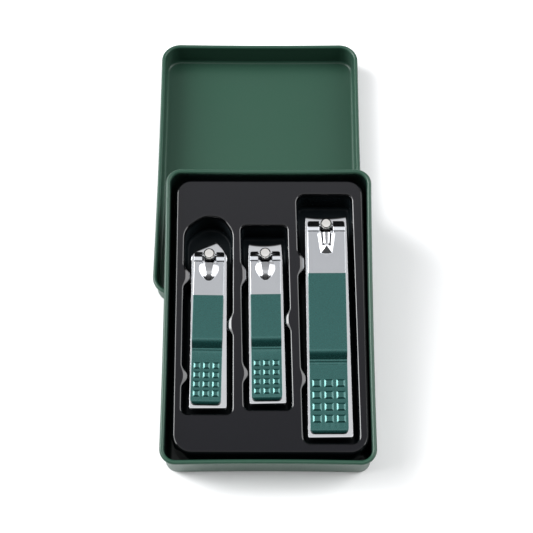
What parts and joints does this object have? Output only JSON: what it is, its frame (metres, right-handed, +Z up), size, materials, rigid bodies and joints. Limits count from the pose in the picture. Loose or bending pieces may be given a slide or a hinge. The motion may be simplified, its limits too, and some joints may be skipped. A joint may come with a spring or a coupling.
{
  "type": "manicure set case",
  "caption": "Pressed tin with its lid on its back and its base leaning on it, and a formed tray of lever-type nail clippers that lift out, unfold and squeeze shut.",
  "frame": {"origin": "centre of the set's footprint on the surface it stands on", "axes": "+Z up, +Y from the near rim of the leaning base to the far rim of the lid, +X to the right seen from the base"},
  "size_m": [0.0794, 0.1814, 0.0359],
  "materials": {
    "tin_paint": "satin green paint on pressed tinplate",
    "tray_plastic": "black formed sheet, satin on top and glossy in the pockets",
    "jaw_chrome": "polished plating",
    "rivet_steel": "plain steel",
    "post_chrome": "polished plating",
    "lever_paint": "metallic green paint behind a bare satin front"
  },
  "bodies": {
    "lid": {"lid_shell": "tin_paint"},
    "base": {"base_shell": "tin_paint"},
    "tray": {"insert_tray": "tray_plastic"},
    "slant_clipper": {"slant_lower_jaw": "jaw_chrome", "slant_rivet": "rivet_steel"},
    "slant_top": {"slant_upper_jaw": "jaw_chrome"},
    "slant_pin": {"slant_post": "post_chrome"},
    "slant_arm": {"slant_lever": "lever_paint"},
    "small_clipper": {"small_lower_jaw": "jaw_chrome", "small_rivet": "rivet_steel"},
    "small_top": {"small_upper_jaw": "jaw_chrome"},
    "small_pin": {"small_post": "post_chrome"},
    "small_arm": {"small_lever": "lever_paint"},
    "large_clipper": {"large_lower_jaw": "jaw_chrome", "large_rivet": "rivet_steel"},
    "large_top": {"large_upper_jaw": "jaw_chrome"},
    "large_pin": {"large_post": "post_chrome"},
    "large_arm": {"large_lever": "lever_paint"}
  },
  "joints": [
    {"name": "base_lift", "type": "slide", "parent": "lid", "child": "base", "axis": [0, 0, 1], "range_m": [0, 0.04]},
    {"name": "tray_lift", "type": "slide", "parent": "base", "child": "tray", "axis": [0, -0.153, 0.9882], "range_m": [0, 0.03]},
    {"name": "slant_clipper_lift", "type": "slide", "parent": "tray", "child": "slant_clipper", "axis": [0, -0.153, 0.9882], "range_m": [0, 0.03]},
    {"name": "slant_jaw_close", "type": "hinge", "parent": "slant_clipper", "child": "slant_top", "pos_m": [-0.01818, -0.06337, 0.01694], "axis": [-1, -0.0052, -0.0008], "range_deg": [0, 2], "stiffness_Nm_per_rad": 2, "springref_deg": -1.72},
    {"name": "slant_lever_flip", "type": "hinge", "parent": "slant_pin", "child": "slant_arm", "pos_m": [-0.01844, -0.01559, 0.02862], "axis": [-0.9999, 0.0121, 0.0019], "range_deg": [0, 150]},
    {"name": "slant_post_swivel", "type": "hinge", "parent": "slant_clipper", "child": "slant_pin", "pos_m": [-0.01844, -0.01484, 0.0257], "axis": [0, -0.153, 0.9882], "range_deg": [0, 180]},
    {"name": "small_clipper_lift", "type": "slide", "parent": "tray", "child": "small_clipper", "axis": [0, -0.153, 0.9882], "range_m": [0, 0.03]},
    {"name": "small_jaw_close", "type": "hinge", "parent": "small_clipper", "child": "small_top", "pos_m": [0.00248, -0.06169, 0.0172], "axis": [-0.9998, -0.0198, -0.0031], "range_deg": [0, 2], "stiffness_Nm_per_rad": 2, "springref_deg": -1.72},
    {"name": "small_lever_flip", "type": "hinge", "parent": "small_pin", "child": "small_arm", "pos_m": [0.00152, -0.01531, 0.02866], "axis": [-0.9999, -0.0147, -0.0023], "range_deg": [0, 150]},
    {"name": "small_post_swivel", "type": "hinge", "parent": "small_clipper", "child": "small_pin", "pos_m": [0.00152, -0.01455, 0.02575], "axis": [0, -0.153, 0.9882], "range_deg": [0, 180]},
    {"name": "large_clipper_lift", "type": "slide", "parent": "tray", "child": "large_clipper", "axis": [0, -0.153, 0.9882], "range_m": [0, 0.03]},
    {"name": "large_jaw_close", "type": "hinge", "parent": "large_clipper", "child": "large_top", "pos_m": [0.02413, -0.07342, 0.01519], "axis": [-0.9999, -0.0121, -0.0019], "range_deg": [0, 1.6], "stiffness_Nm_per_rad": 2, "springref_deg": -1.72},
    {"name": "large_lever_flip", "type": "hinge", "parent": "large_pin", "child": "large_arm", "pos_m": [0.02326, -0.00423, 0.03038], "axis": [-1, -0.0069, -0.0011], "range_deg": [0, 150]},
    {"name": "large_post_swivel", "type": "hinge", "parent": "large_clipper", "child": "large_pin", "pos_m": [0.02326, -0.00348, 0.02746], "axis": [0, -0.153, 0.9882], "range_deg": [0, 180]}
  ],
  "couplings": [
    {"joint": "slant_post_swivel", "follows": "slant_lever_flip", "ratio": 1.2},
    {"joint": "small_post_swivel", "follows": "small_lever_flip", "ratio": 1.2},
    {"joint": "large_post_swivel", "follows": "large_lever_flip", "ratio": 1.2}
  ]
}
